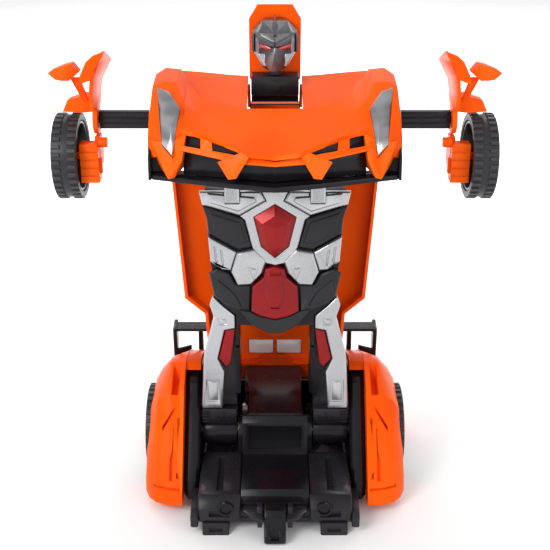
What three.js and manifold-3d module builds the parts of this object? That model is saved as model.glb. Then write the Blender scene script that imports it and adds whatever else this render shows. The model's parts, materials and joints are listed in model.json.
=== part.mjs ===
// Transforming robot car, standing as a robot. Millimetres, +Z up, the robot faces -Y.
// The base is the rear half of the car. The spine (legs, torso and roof) stands up on it,
// the chest is the front half of the car, and the front wheels hang on telescoping arms.
// "left" is the -X side, seen by someone who faces the robot.
import * as THREE from 'three';
import { ConvexGeometry } from 'three/addons/geometries/ConvexGeometry.js';
import { mergeVertices } from 'three/addons/utils/BufferGeometryUtils.js';
import Module from 'manifold-3d';

const wasm = await Module();
wasm.setup();

// ---- driving dimensions ----
const frontY = -95; // tip of the latch
const rearY = 62; // back of the rear bumper
const gap = 0.3; // clearance between pieces that touch
const hip = { y: -20, z: 34 }; // the torso stands up about this axis
const neckline = { y: -20, z: 232 }; // the chest stays level about this axis
const headHinge = { y: 11, z: 251.3 };
const arm = { y: 9.5, z: 228 }; // axis of the telescoping arms
const frontWheel = { y: 13.5, z: 204.6, r: 26, in: 116, out: 131 };
const rearWheel = { y: -6, z: 28, r: 28, in: 66, out: 81.5 };
const foldedWheel = { y: arm.y + frontWheel.z - arm.z, z: arm.z + arm.y - frontWheel.y };
const wellRadius = frontWheel.r + 2.4;
const bodyHalf = 45.5; // half width of the torso and legs
const liner = { in: 46.6, out: 56 };
const fenderOut = 80;
const tyreWall = 4.5; // thickness of a tyre's band
const tubeHalf = { y: 4, z: 6.7 };
const rodHalf = { y: 2.5, z: 5.2 };
const tunnel = 16.3; // half width of the head's recess
const notchFront = -32;

// ---- finishes ----
const finish = (color, roughness, metalness = 0) =>
  new THREE.MeshStandardMaterial({ color, roughness, metalness });
const orange = finish('#ff5a0c', 0.3);
const black = finish('#17161a', 0.42);
const silver = finish('#b9bcc2', 0.32, 0.7);
const charcoal = finish('#35363b', 0.55);
const metallicRed = finish('#a80d12', 0.25, 0.4);
const tyreRubber = finish('#202023', 0.75);
const steel = finish('#9a9ca0', 0.35, 1);
const gunmetal = finish('#4a4a50', 0.35, 0.8);
const lampClear = finish('#8f9297', 0.12, 0.2);
const lampRed = finish('#c01010', 0.15);
const windowWhite = finish('#ececf0', 0.2);
const boardGreen = finish('#0f5a2c', 0.5);

// ---- solids ----
function toSolid(geometry) {
  geometry.deleteAttribute('normal');
  geometry.deleteAttribute('uv');
  const merged = mergeVertices(geometry, 1e-4);
  return new wasm.Manifold(
    new wasm.Mesh({
      numProp: 3,
      vertProperties: new Float32Array(merged.attributes.position.array),
      triVerts: new Uint32Array(merged.index.array),
    }),
  );
}

function block(xa, xb, ya, yb, za, zb) {
  const size = [Math.abs(xb - xa), Math.abs(yb - ya), Math.abs(zb - za)];
  const box = new THREE.BoxGeometry(...size);
  return toSolid(box.translate((xa + xb) / 2, (ya + yb) / 2, (za + zb) / 2));
}

function hull(points) {
  return toSolid(new ConvexGeometry(points.map((p) => new THREE.Vector3(...p))));
}

function extrude(outline, depth, chamfer) {
  return new THREE.ExtrudeGeometry(new THREE.Shape(outline.map((p) => new THREE.Vector2(...p))), {
    depth: depth - 2 * chamfer,
    bevelEnabled: chamfer > 0,
    bevelThickness: chamfer,
    bevelSize: chamfer,
    bevelOffset: -chamfer,
    bevelSegments: 1,
    steps: 1,
  }).translate(0, 0, chamfer);
}

// outline of [y, z] points, between two x values
function profileX(outline, xa, xb, chamfer = 0) {
  const turn = new THREE.Matrix4().set(0, 0, 1, 0, 1, 0, 0, 0, 0, 1, 0, 0, 0, 0, 0, 1);
  const geometry = extrude(outline, Math.abs(xb - xa), chamfer).applyMatrix4(turn);
  return toSolid(geometry.translate(Math.min(xa, xb), 0, 0));
}

// outline of [x, z] points, between two y values
function profileY(outline, ya, yb, chamfer = 0) {
  const geometry = extrude(outline, Math.abs(yb - ya), chamfer).rotateX(Math.PI / 2);
  return toSolid(geometry.translate(0, Math.max(ya, yb), 0));
}

function rodX(radius, xa, xb, y, z, segments = 16) {
  const rod = new THREE.CylinderGeometry(radius, radius, Math.abs(xb - xa), segments);
  return toSolid(rod.rotateZ(Math.PI / 2).translate((xa + xb) / 2, y, z));
}

function rodY(radius, x, ya, yb, z, segments = 16) {
  const rod = new THREE.CylinderGeometry(radius, radius, Math.abs(yb - ya), segments);
  return toSolid(rod.translate(x, (ya + yb) / 2, z));
}

function rodZ(radius, x, y, za, zb, segments = 16) {
  const rod = new THREE.CylinderGeometry(radius, radius, Math.abs(zb - za), segments);
  return toSolid(rod.rotateX(Math.PI / 2).translate(x, y, (za + zb) / 2));
}

// turned about a line along X: profile of [radius, x] points measured from the line
function turnedX(profile, y, z, side, segments = 40) {
  const points = profile.map(([r, x]) => new THREE.Vector2(r, x));
  const ring = new THREE.LatheGeometry(points, segments).rotateZ(-Math.PI / 2);
  if (side < 0) ring.rotateY(Math.PI);
  return toSolid(ring.translate(0, y, z));
}

const join = (...solids) => solids.reduce((whole, solid) => whole.add(solid));
const cut = (whole, ...tools) => tools.reduce((rest, tool) => rest.subtract(tool), whole);
const mainBody = (solid) => solid.decompose().reduce((a, b) => (b.volume() > a.volume() ? b : a));

const robot = new THREE.Group();
robot.position.y = -(frontY + rearY) / 2;

function addPart(name, solid, material) {
  const mesh = solid.getMesh();
  const geometry = new THREE.BufferGeometry();
  geometry.setAttribute('position', new THREE.BufferAttribute(mesh.vertProperties, 3));
  geometry.setIndex(new THREE.BufferAttribute(mesh.triVerts, 1));
  const part = new THREE.Mesh(geometry, material);
  part.name = name;
  robot.add(part);
}

const sides = [
  { name: 'left', s: -1 },
  { name: 'right', s: 1 },
];
const bothSides = (make) => join(make(-1), make(1));
const mirrorX = (s, points) => points.map(([x, ...rest]) => [s * x, ...rest]);

// ---- base: the rear half of the car ----
const floorPan = { z: 6, top: 9, front: -80, rear: 54 };
const lumpTop = 23.5;

function makeChassis() {
  const pan = block(-bodyHalf, bodyHalf, floorPan.front, floorPan.rear, floorPan.z, floorPan.top);
  const lumps = bothSides((s) => {
    const outline = [
      [-82, 8], [-82, 16], [-76, lumpTop - 1], [-66, lumpTop], [-31, lumpTop], [-29, 20], [-29, 8],
    ];
    const lump = profileX(outline, s * 20.5, s * bodyHalf, 0.8);
    const pocket = block(s * 27, s * 39, -84, -79.5, 10.5, 15);
    const trough = block(s * 31, s * 35, -72, -36, lumpTop - 2, lumpTop + 2);
    return cut(lump, pocket, trough);
  });
  const feet = bothSides((s) => {
    const pad = [[-85, 0], [-70, 0], [-68, 7], [-83, 7]];
    return cut(profileX(pad, s * 27, s * 43, 0.6), block(s * 31, s * 39, -86, -83, 2, 4.4));
  });
  const ears = bothSides((s) => {
    const ring = rodX(9, s * 18.6, s * 23.2, hip.y, hip.z, 20);
    const foot = block(s * 18.6, s * 23.2, -28.5, -11.5, 8, hip.z);
    return cut(join(ring, foot), rodX(3 + gap, s * 18, s * 24, hip.y, hip.z));
  });
  const latchEars = bothSides((s) => {
    const ear = profileX([[-86, 6.2], [-79, 6.2], [-79, 19], [-84, 19], [-88, 14]], s * 7.6, s * 10.4);
    return cut(ear, rodX(1.5 + gap, s * 7, s * 11, -84, 12.5, 16));
  });
  const centreHump = profileX([[-79.2, 8], [-79.2, 13], [-77, 14], [-76.4, 14], [-76.4, 8]], -20.6, 20.6);
  const sideRails = bothSides((s) =>
    profileX([[-84, 5], [-84, 12], [-78, 15], [-58, 15], [-58, 5]], s * (bodyHalf - 0.1), s * 50, 0.6),
  );
  const apronOutline = [
    [-19, -78.4], [-18.4, -84], [-13, -90.4], [-7.2, -92.4], [7.2, -92.4], [13, -90.4], [18.4, -84],
    [19, -78.4],
  ];
  const apron = toSolid(extrude(apronOutline, 1.6, 0).translate(0, 0, 14.6));
  const latchRoom = block(-7, 7, -100, -77.6, 0, 30);
  const apronHalves = cut(apron, latchRoom);
  const solid = join(pan, lumps, feet, ears, latchEars, centreHump, sideRails, apronHalves);
  const batteryHole = block(-15.5, 15.5, -72, -40, 4, 10);
  const switchSlot = block(29, 35, 29, 43, 4, 10);
  return cut(solid, batteryHole, switchSlot);
}
addPart('base_chassis', makeChassis(), black);

// outside of a rear fender at five distances from the middle, as [y, z] points
const fenderRings = [
  {
    x: 56.4,
    side: [
      [-64, 6], [-63, 15], [-30, 67], [-8, 76.5], [6, 75], [24, 68], [44, 59], [56, 50], [58, 22],
      [58, 8],
    ],
  },
  {
    x: 66,
    side: [
      [-63, 6], [-61, 16], [-32, 66], [-8, 75], [6, 72.5], [24, 64.5], [44, 52], [54, 43], [58, 22],
      [58, 8],
    ],
  },
  {
    x: 73,
    side: [
      [-60, 6], [-58, 16], [-30, 60], [-8, 66], [6, 64.5], [24, 57], [42, 45], [52, 37], [57, 22],
      [57, 9],
    ],
  },
  {
    x: 77.5,
    side: [
      [-55, 6], [-53, 16], [-26, 53], [-8, 57], [6, 56], [24, 49], [40, 38], [50, 29], [54, 20],
      [54, 10],
    ],
  },
  {
    x: fenderOut,
    side: [[-50, 8], [-48, 16], [-24, 43], [-8, 47], [6, 46], [24, 39], [40, 27], [47, 20], [47, 12]],
  },
];
const grooveDepth = [0, 1.8, -1.1]; // step from the fender's skin to the bottom of its grooves

function makeRightFender() {
  const skin = hull(fenderRings.flatMap((ring) => ring.side.map(([y, z]) => [ring.x, y, z])));
  const arch = rodX(rearWheel.r + 2.4, 64.6, 90, rearWheel.y, rearWheel.z, 28);
  const archFoot = block(64.6, 90, rearWheel.y - 26, rearWheel.y + 26, 0, 16);
  const axleHole = rodX(2.4, 50, 70, rearWheel.y, rearWheel.z, 20);
  const layer = cut(skin, skin.translate(grooveDepth));
  const grooves = [
    block(58.2, 60.2, -70, -24, 21.4, 53),
    block(62.2, 64.4, -70, -24, 20, 48),
    block(57.6, 74, -70, -24, 15.2, 16.8),
  ].map((band) => layer.intersect(band));
  const scoop = profileX([[-34, 68], [-29, 60], [-14, 64], [-8, 80]], 59.5, 64);
  const slitSection = [[69, 0, 45.4], [69.6, 0, 47.4], [57.4, -1, 64], [57.4, -1, 66.2]];
  const slit = hull([-60, -35].flatMap((y) => slitSection.map(([x, lean, z]) => [x, y + lean, z])));
  const bridgeTop = [[-12, 72], [-8, 76], [6, 74.4], [24, 67.4], [44, 58.4], [51, 53]];
  const bridgeUnder = [[50.4, 49.8], [40.2, 58], [8, 70.3], [-9, 70.8]];
  const bridge = profileX([...bridgeTop, ...bridgeUnder], liner.in + gap, 58);
  const lampPocket = block(50, 74, 49, 66, 31, 41);
  const whole = join(skin, bridge);
  return mainBody(cut(whole, arch, archFoot, axleHole, scoop, slit, lampPocket, ...grooves));
}

const rightFender = makeRightFender();
const bodySolids = []; // what the wing stands on
for (const { name, s } of sides) {
  const solid = s > 0 ? rightFender : rightFender.mirror([1, 0, 0]);
  bodySolids.push(solid);
  addPart(`${name}_rear_fender`, solid, orange);
}

for (const { name, s } of sides) {
  const outline = [
    [-57, 6], [-55, 18], [-24, 58], [-18, 66], [-9, 70], [8, 69.6], [40, 57], [50, 48], [52, 10], [49, 6],
  ];
  const plate = profileX(outline, s * liner.in, s * (liner.out - gap), 2.2);
  const hipBore = rodX(3 + gap, s * 40, s * 60, hip.y, hip.z);
  const axleBore = rodX(2.4, s * 40, s * 60, rearWheel.y, rearWheel.z, 20);
  const solid = cut(plate, hipBore, axleBore);
  bodySolids.push(solid);
  addPart(`${name}_wall_liner`, solid, black);
}

const deckTop = 60;
function makeDeck() {
  const cover = profileX(
    [
      [38, 40], [38, 50], [44, deckTop], [52, deckTop - 2], [56.5, 52], [56.5, 30], [54, 30], [54, 48],
      [50, 52], [46, 52],
    ],
    -46,
    46,
  );
  const louvres = [0, 1, 2].map((row) => block(-34, 34, 45.2 + row * 3.4, 46.8 + row * 3.4, 48, 64));
  return cut(cover, ...louvres);
}
addPart('rear_deck', makeDeck(), orange);

function makeRearBumper() {
  const bar = profileX([[58.3, 7], [58.3, 30], [rearY, 26], [rearY, 13], [60, 6]], -74, 74, 0.6);
  const tray = block(-bodyHalf, bodyHalf, floorPan.rear + gap, 59, 7, 29);
  const fins = [-30, -15, 0, 15, 30].map((x) => block(x - 1, x + 1, 56, 61, 1.5, 8));
  return join(bar, tray, ...fins);
}
addPart('rear_bumper', makeRearBumper(), black);
function makeTailLamp() {
  const lenses = bothSides((s) => block(s * 57, s * 73, 49.6, 57, 31.6, 40.4));
  const strip = block(-73, 73, 56.9, 58, 33, 39);
  return join(lenses, strip);
}
addPart('tail_lamp', makeTailLamp(), lampRed);

const wing = { y0: 36.5, y1: 47, z: 76, half: 66.5 };
function makeWing() {
  const foil = profileX(
    [[wing.y0, wing.z], [wing.y0 + 1, wing.z + 1.4], [wing.y1 - 3, wing.z + 1.2], [wing.y1, wing.z + 2.4],
      [wing.y1, wing.z + 1], [wing.y1 - 4, wing.z]],
    -wing.half, wing.half,
  );
  const ends = bothSides((s) =>
    profileX(
      [[37, 56], [35, 78], [47.6, 80], [48.4, 64], [44, 56]],
      s * (wing.half - 0.2),
      s * (wing.half + 2.4),
      0.4,
    ),
  );
  const struts = bothSides((s) => hull(mirrorX(s, [
    [66.4, 38, 56.2], [66.4, 44, 56.2], [66.4, 38, 60], [66.4, 44, 60], [57, 38, 62], [57, 44, 58],
    [57, 38, 65.4], [57, 44, 62.4],
  ])));
  const brackets = bothSides((s) => profileX(
    [[38, 58], [40, wing.z + 1], [45, wing.z + 1], [47, 50]],
    s * 49,
    s * 52,
  ));
  return join(foil, ends, struts, brackets);
}
const wingSeats = bodySolids.flatMap((solid) => [
  solid,
  solid.translate([0, 0, gap]),
  solid.translate([0, gap, gap]),
]);
addPart('rear_wing', mainBody(cut(makeWing(), ...wingSeats)), black);

function makeGearbox() {
  const box = profileX([[-32, 9.4], [-33, 44], [-28, 50], [2, 50], [10, 40], [10, 9.4]], -17.5, 17.5, 1);
  const gearSlot = block(7.4, 13.6, -16, 4, 5, 39);
  const batteryLid = profileX(
    [[-76.1, 14.4], [-76.1, 21.4], [-73.4, 24.4], [-35.4, 24.4], [-34.4, 46.4], [-31.4, 49.8], [-29.4, 49.8],
      [-29.4, 22.6], [-74.2, 22.6], [-74.2, 14.4]],
    -20.2, 20.2,
  );
  const motorLid = block(-20, 17.4, 1, 37, 47.4, 49.8);
  const panel = block(-16.4, 16.4, -36, -33.4, 28, 44);
  const axleBore = rodX(2.4, -20, 20, rearWheel.y, rearWheel.z, 20);
  const hipBore = rodX(3 + gap, -20, 20, hip.y, hip.z);
  return cut(join(box, batteryLid, motorLid), gearSlot, panel, axleBore, hipBore);
}
addPart('gearbox_case', makeGearbox(), black);

function makeMotors() {
  const can = rodX(9.5, -22, 12, 22, 20, 16);
  const boss = rodX(3, 11.9, 15, 22, 20, 16);
  const liftCan = rodX(8.5, -20, 14, 36, 38, 16);
  const liftBoss = rodX(3, 13.9, 17, 36, 38, 16);
  const bracket = block(-20, -18, 20, 37, 18, 40);
  return join(can, boss, liftCan, liftBoss, bracket);
}
addPart('motor_unit', cut(makeMotors(), block(-50, 50, 37.4, 60, 30, 60)), steel);

const cells = [-12, 0, 12].map((x) => rodY(5.6, x, -74, -37, 16, 12));
const cellTray = block(-17, 17, -73, -38, 10.6, 14);
addPart('battery_pack', join(cellTray, ...cells), charcoal);
const doorPanel = block(-15.2, 15.2, -71.7, -40.3, 6, 8.6);
const doorGrip = block(-6, 6, -47, -44, 4.6, 6.1);
addPart('battery_door', join(doorPanel, doorGrip), black);

const board = block(22, 42, 8, 50, 12, 13.6);
const chips = [
  block(25, 33, 12, 20, 13.5, 15.4),
  block(28, 38, 24, 28, 13.5, 18),
  block(24, 30, 32, 44, 13.5, 16),
];
addPart('circuit_board', join(board, ...chips), boardGreen);

addPart('hip_shaft', rodX(3, -55.4, 55.4, hip.y, hip.z), steel);

function makeSwitch() {
  const knob = profileX([[30, 3.6], [33, 3.6], [34, 5], [34, 11.4], [29.6, 11.4], [29.6, 5]], 29.6, 34.4);
  const flange = block(28, 36, 27, 37, 9.5, 11.4);
  return join(knob, flange);
}
addPart('power_switch', makeSwitch(), charcoal);

const latchPivot = { y: -84, z: 12.5 };
function makeLatch() {
  const hook = profileX(
    [
      [-95, 1.2], [-95, 6], [-91, 9], [-91, 16], [-88, 19.5], [-79.6, 19.5], [-79.6, 17.4], [-81.4, 9],
      [-86.5, 9], [-88.5, 4], [-88.5, 1.2],
    ],
    -6.4, 6.4, 0.6,
  );
  const slot = block(-2.4, 2.4, -100, -92, 3, 12);
  const pin = rodX(1.5, -10.2, 10.2, latchPivot.y, latchPivot.z, 16);
  return join(cut(hook, slot), pin);
}
addPart('front_latch', makeLatch(), black);

// ---- rear wheels ----
const axle = rodX(2, -82.6, 82.6, rearWheel.y, rearWheel.z, 20);
const gearTeeth = Array.from({ length: 10 }, (_, i) => {
  const a = (i / 10) * 2 * Math.PI;
  const at = (r, da) => [rearWheel.y + r * Math.cos(a + da), rearWheel.z + r * Math.sin(a + da)];
  return profileX([at(7, -0.2), at(9.2, -0.1), at(9.2, 0.1), at(7, 0.2)], 8, 13);
});
addPart('rear_axle', join(axle, rodX(7.4, 8, 13, rearWheel.y, rearWheel.z, 20), ...gearTeeth), steel);

function makeTyre(wheel, side) {
  const inner = wheel.r - tyreWall;
  const profile = [
    [inner, wheel.in], [wheel.r - 1.6, wheel.in], [wheel.r, wheel.in + 1.8], [wheel.r, wheel.out - 1.8],
    [wheel.r - 1.6, wheel.out], [inner, wheel.out], [inner, wheel.in],
  ];
  return turnedX(profile, wheel.y, wheel.z, side, 28);
}

// dished rim: barrel, outer web with five windows, and a hub on the axle
function makeRim(wheel, side, bore) {
  const rimR = wheel.r - tyreWall - gap;
  const web = wheel.out - 4;
  const profile = [
    [bore, wheel.in + 2], [bore + 3, wheel.in + 2], [bore + 3, web], [rimR - 2, web],
    [rimR - 2, wheel.in + 0.8],
    [rimR, wheel.in + 0.8], [rimR, wheel.out - 0.8], [rimR - 3, web + 2],
    [bore + 2.6, web + 2.6], [bore, wheel.out - 1], [bore, wheel.in + 2],
  ];
  const disc = turnedX(profile, wheel.y, wheel.z, side, 20);
  return cut(disc, ...rimWindows(wheel, rimR - 4.4, side, web));
}

function rimWindows(wheel, reach, side, web) {
  return Array.from({ length: 5 }, (_, i) => {
    const a = (i / 5) * 2 * Math.PI + Math.PI / 2;
    const at = (r, da) => [wheel.y + r * Math.cos(a + da), wheel.z + r * Math.sin(a + da)];
    return profileX(
      [at(8.4, -0.28), at(reach, -0.4), at(reach, 0.4), at(8.4, 0.28)],
      side * (web - 1),
      side * (web + 4),
    );
  });
}

for (const { name, s } of sides) {
  addPart(`${name}_rear_tyre`, makeTyre(rearWheel, s), tyreRubber);
  const wheel = { ...rearWheel, out: rearWheel.out - 0.4 };
  addPart(`${name}_rear_rim`, makeRim(wheel, s, 2 + gap), silver);
}

// ---- spine: legs, torso and roof ----
const torsoTop = 195.6;
const plateBack = -27.3; // back face of the armour plates
// armour plate: outline of [x, z] points for the +X side, thickness in front of the frame
const armour = (s, outline, front, chamfer = 0.8, back = plateBack) =>
  profileY(mirrorX(s, outline), back, front, chamfer);

const coverOutline = [
  [37, 129], [39.2, 123.4], [36.8, 115.6], [43.4, 90.5], [43.8, 85], [45.8, 56.5], [45.4, 53.1],
  [32.8, 53.1], [31.1, 78.8], [35.1, 87.8], [30.6, 106.7], [24.2, 108], [24.2, 116.6], [30.8, 122.4],
];
const insertOutline = [[30.3, 106], [24.3, 107.2], [26.8, 84.8], [29.9, 81.3], [34.6, 87.6]];
const makeLegPlate = (s) => armour(s, coverOutline, -28, 0.7, -21);

function makeTorsoFrame() {
  const chestBlock = hull([-26.9, 7].flatMap((y) => [
    [-40.6, y, torsoTop], [40.6, y, torsoTop], [-38, y, 150], [38, y, 150], [-32, y, 118], [32, y, 118],
    [-24, y, 110], [24, y, 110],
  ]));
  const headClearance = block(-tunnel, tunnel, -24, 20, 187.4, 200);
  const legs = bothSides((s) => {
    const legOutline = [[24, 44], [44.6, 44], [44.6, 58], [42.4, 86], [37.4, 106], [36, 119], [24, 119]];
    const column = profileY(mirrorX(s, legOutline), -20.7, 5);
    const ankle = block(s * 24, s * bodyHalf, -27.5, -12, 42, 52.6);
    const barrel = rodX(9, s * 24, s * bodyHalf, hip.y, hip.z, 20);
    const knee = profileX([[-20.6, 92], [-26, 96], [-26, 112], [-20.6, 116]], s * 22, s * 24);
    const strut = block(s * 21.6, s * 24.1, -20.7, 2, 60, 116);
    const bore = rodX(3.1, s * 20, s * 60, hip.y, hip.z);
    return cut(join(column, ankle, barrel, knee, strut), bore);
  });
  const lugs = bothSides((s) => {
    const boss = rodX(6, s * 20.5, s * 28.5, neckline.y, neckline.z, 24);
    const bar = profileX(
      [[-34.4, 190], [-34.4, 226], [-30.5, 234], [-22, 236], [-22, 228], [-31, 222], [-31, 190]],
      s * 20.5,
      s * 28.5,
    );
    const foot = block(s * 20.5, s * 28.5, -34, -26, 189, 194.8);
    return cut(join(boss, bar, foot), rodX(2.1, s * 18, s * 30, neckline.y, neckline.z, 20));
  });
  const grown = coverOutline.map(([x, z]) => [36 + (x - 36) * 1.05, 90 + (z - 90) * 1.012]);
  const legRoom = bothSides((s) => armour(s, grown, -30, 0, -20.7));
  return join(cut(join(cut(chestBlock, headClearance), legs), legRoom), lugs);
}
addPart('torso_frame', makeTorsoFrame(), black);

for (const { name, s } of sides) {
  const plate = makeLegPlate(s);
  const shinGroove = cut(
    block(s * 34.6, s * 42.4, -30, -27.2, 58, 73),
    block(s * 35.8, s * 41.2, -30, -27, 59.2, 71.8),
  );
  const kneeGroove = cut(
    block(s * 29, s * 34, -30, -27.2, 110.5, 115),
    block(s * 30, s * 33, -30, -27, 111.5, 114),
  );
  addPart(`${name}_leg_cover`, cut(plate, shinGroove, kneeGroove), silver);
}
for (const { name, s } of sides) {
  addPart(`${name}_leg_insert`, armour(s, insertOutline, -26.6, 0.6, -21), metallicRed);
}

const pectoral = [
  [43.4, 198.8], [29, 199.2], [29, 194.6], [20, 194.4], [20, 199], [8.4, 197.4], [5.6, 190.2],
  [20.6, 181.3], [41.8, 188],
];
const pectoralPanel = [[38.6, 195], [23, 193.6], [11.6, 192.6], [10.4, 190], [20.8, 184], [37.8, 189.4]];
for (const { name, s } of sides) {
  const plate = armour(s, pectoral.map(([x, z]) => [x, Math.min(z, torsoTop)]), -31.6);
  const raised = armour(s, pectoralPanel, -33, 0.7);
  const lugSlot = block(s * 20.2, s * 28.8, -36, -20, 188.7, 200);
  addPart(`${name}_pectoral_plate`, cut(join(plate, raised), lugSlot), silver);
}

const rib = [[41.9, 186.9], [18.1, 178.8], [13.7, 161.4], [22, 160.2], [38.6, 169.8], [39.6, 179.6]];
const ribPanel = [[38, 183], [20, 177], [16.6, 164.6], [22, 163.6], [35.4, 171.2], [36.4, 178.4]];
for (const { name, s } of sides) {
  addPart(`${name}_rib_plate`, join(armour(s, rib, -30.4), armour(s, ribPanel, -31.6, 0.6)), charcoal);
}

const vent = [[38.9, 168.4], [22.4, 158.4], [25.9, 147], [31, 147.5], [37.8, 152.6]];
function makeVent(s) {
  const slot = [[35.8, 162], [34.6, 162], [33.6, 152.6], [34.6, 151.4]];
  const slots = [0, 1].map((row) => {
    const outline = slot.map(([x, z]) => [x - row * 3.8, z - row * 1.8]);
    return armour(s, outline, -34, 0, -29.8);
  });
  return cut(armour(s, vent, -31), ...slots);
}
for (const { name, s } of sides) addPart(`${name}_side_vent`, makeVent(s), silver);

const bellyHex = [
  [22.2, 158.2], [12.2, 160.6], [5.2, 153.2], [7.6, 145.8], [14.2, 138.6], [22, 138.2], [25.6, 146.6],
];
const gem = [[0, 188], [12.2, 180.2], [8, 162.4], [0, 155.4], [-8, 162.4], [-12.2, 180.2]];
const gemSetting = [
  [0, 195.6], [7.6, 195.6], [5, 190], [20.2, 180.8], [17.4, 178.4], [13.2, 161.4], [6.4, 152],
  [0, 150.4], [-6.4, 152],
  [-13.2, 161.4], [-17.4, 178.4], [-20.2, 180.8], [-5, 190], [-7.6, 195.6],
];
function makeBelly() {
  const hexes = bothSides((s) => {
    const groove = cut(
      armour(s, [[16, 150], [9.6, 149], [12.6, 141.4]], -34, 0, -31.4),
      armour(s, [[14.4, 148.8], [11.2, 148.2], [12.8, 144.2]], -34, 0, -31),
    );
    return cut(armour(s, bellyHex, -32.2), groove);
  });
  const gemHole = profileY(gem.map(([x, z]) => [x * 1.03, 171.7 + (z - 171.7) * 1.025]), -20, -40);
  return cut(join(hexes, profileY(gemSetting, plateBack, -31.2, 0.6)), gemHole);
}
addPart('belly_plate', makeBelly(), silver);

function makeGem() {
  const table = [[0, 182], [7.4, 177], [5, 166], [0, 161], [-5, 166], [-7.4, 177]];
  return hull([
    ...gem.map(([x, z]) => [x, plateBack, z]),
    ...gem.map(([x, z]) => [x, -31, z]),
    ...table.map(([x, z]) => [x, -34.2, z]),
    [0, -35.4, 175],
    [0, -34.8, 164],
  ]);
}
addPart('chest_gem', makeGem(), metallicRed);

const shieldOutline = [
  [0, 150.2], [5.6, 148.6], [7, 143], [13.4, 137.4], [14.2, 121.4], [8.6, 118.2], [0, 116],
  [-8.6, 118.2], [-14.2, 121.4],
  [-13.4, 137.4], [-7, 143], [-5.6, 148.6],
];
function makeShield() {
  const plate = profileY(shieldOutline, plateBack, -32.6, 0.8);
  const boss = hull([
    ...[[-5, 147], [5, 147], [6, 132], [3, 122.6], [-3, 122.6], [-6, 132]].map(([x, z]) => [x, -32, z]),
    ...[
      [-3.4, 145], [3.4, 145], [4.2, 132], [1.8, 125], [-1.8, 125], [-4.2, 132],
    ].map(([x, z]) => [x, -34.4, z]),
  ]);
  return join(plate, boss);
}
addPart('belly_shield', makeShield(), metallicRed);

const hipOutline = [
  [39, 145], [34.6, 147.4], [27.2, 144.4], [23.2, 137.4], [14.2, 137], [15, 119.6], [19.7, 119.8],
  [30.4, 125.2],
  [36.2, 130.4],
];
function makeHipGuard() {
  const raised = [[34, 141], [24, 132], [20, 124], [30, 128], [34.6, 133]];
  const panels = bothSides((s) => join(armour(s, hipOutline, -29.6), armour(s, raised, -30.8, 0.5)));
  const loinOutline = [
    [-21, 122], [-14.8, 120.8], [-8.8, 117.6], [0, 115.4], [8.8, 117.6], [14.8, 120.8], [21, 122],
    [14, 112], [4, 106.4],
    [-4, 106.4], [-14, 112],
  ];
  return join(panels, profileY(loinOutline, plateBack, -31.2, 0.5));
}
addPart('hip_guard', makeHipGuard(), charcoal);

// roof and cabin: a thin tray behind the torso, open towards the front
const roofOutline = [
  [64.6, 190], [58.8, 106], [46, 95], [44.6, 74], [34, 57], [14, 57], [8, 62], [-8, 62], [-14, 57], [-34, 57],
  [-44.6, 74], [-46, 95], [-58.8, 106], [-64.6, 190],
];
function shrink(outline, dx, dz) {
  const middle = 125;
  return outline.map(([x, z]) => [x - Math.sign(x) * dx, z + (z > middle ? -dz : dz)]);
}
function makeBackShell() {
  const body = profileY(roofOutline, 21.5, 31.6, 2);
  const hollow = profileY(shrink(roofOutline, 2.4, 2.4), 15, 28.8);
  const cross = profileY([[-16, 98], [16, 98], [19, 92.6], [0, 84], [-19, 92.6]], 10, 29.4, 0.6);
  const spineTie = bothSides((s) => block(s * 6, s * 22, 7.3, 29.2, 120, 126));
  const windows = bothSides((s) => block(s * 0.9, s * 17.6, 20, 40, 63.4, 73.8));
  const rib = block(-40, 40, 24, 29, 150, 153);
  return join(cut(body, hollow, windows), rib, cross, spineTie);
}
addPart('back_shell', cut(makeBackShell(), block(-30, 30, 0, 7.3, 80, 130)), orange);
const panes = bothSides((s) => block(s * 1.2, s * 17.3, 28.9, 32.2, 63.7, 73.5));
addPart('shell_window', join(panes, block(-19, 19, 31.9, 33.2, 62.4, 74.8)), windowWhite);

// ---- chest: the front half of the car ----
// hood skin: columns from the middle outwards, each from the rear edge to the front edge
const hoodColumns = [
  [[0, 12, 252.6], [0, -10, 247.6], [0, -30, 242.6], [0, -33, 243.8], [0, -52, 237], [0, -72, 227.6]],
  [
    [15.6, 12, 253.2], [15.6, -10, 247.8], [15.6, -29.6, 242], [15.6, -33, 243.8], [14, -50, 237],
    [12.4, -69.6, 228.4],
  ],
  [
    [27, 12, 254], [27, -8, 248.6], [26, -27.6, 242.4], [25, -31.6, 244.8], [24, -48, 237.6],
    [23, -64.4, 231.4],
  ],
  [
    [37, 12, 255], [37, -6, 249.6], [36, -23.6, 243.8], [35.4, -28.2, 246.6], [35, -42, 240.6],
    [34.4, -57.4, 234],
  ],
  [
    [46, 12, 255.8], [45.4, -2, 251.2], [43.4, -16, 246.6], [43, -20.8, 249.4], [43.6, -38, 243.4],
    [43.4, -53.6, 235.8],
  ],
  [[54.6, 12, 256.4], [53, 5, 254.6], [49.6, -6, 252], [50, -11, 255], [51, -34, 248.4], [50, -51.6, 236.4]],
];
const fenderLines = [
  { x: 54.4, line: [[12, 256.8]] },
  { x: 49.8, line: [[-11, 255.2], [-34, 248.6], [-51.6, 236.6]] },
  { x: 54.6, line: [[12, 257.2], [-4, 260], [-24, 256.6], [-41, 247.4], [-54, 232]] },
  { x: 62, line: [[11, 257.4], [-4, 261], [-24, 257], [-40, 247.6], [-52, 231]] },
  { x: 68, line: [[11, 254.6], [-4, 257.2], [-22, 254], [-37, 245], [-47, 230]] },
  { x: 69.4, line: [[11, 247], [-4, 249], [-22, 247], [-36, 240], [-45, 228]] },
];
function skinOf(lines, s, drop) {
  const top = lines.flatMap(({ x, line }) => line.map(([y, z]) => [s * x, y, z]));
  return hull([...top, ...top.map(([x, y, z]) => [x, y, z - drop])]);
}
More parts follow.
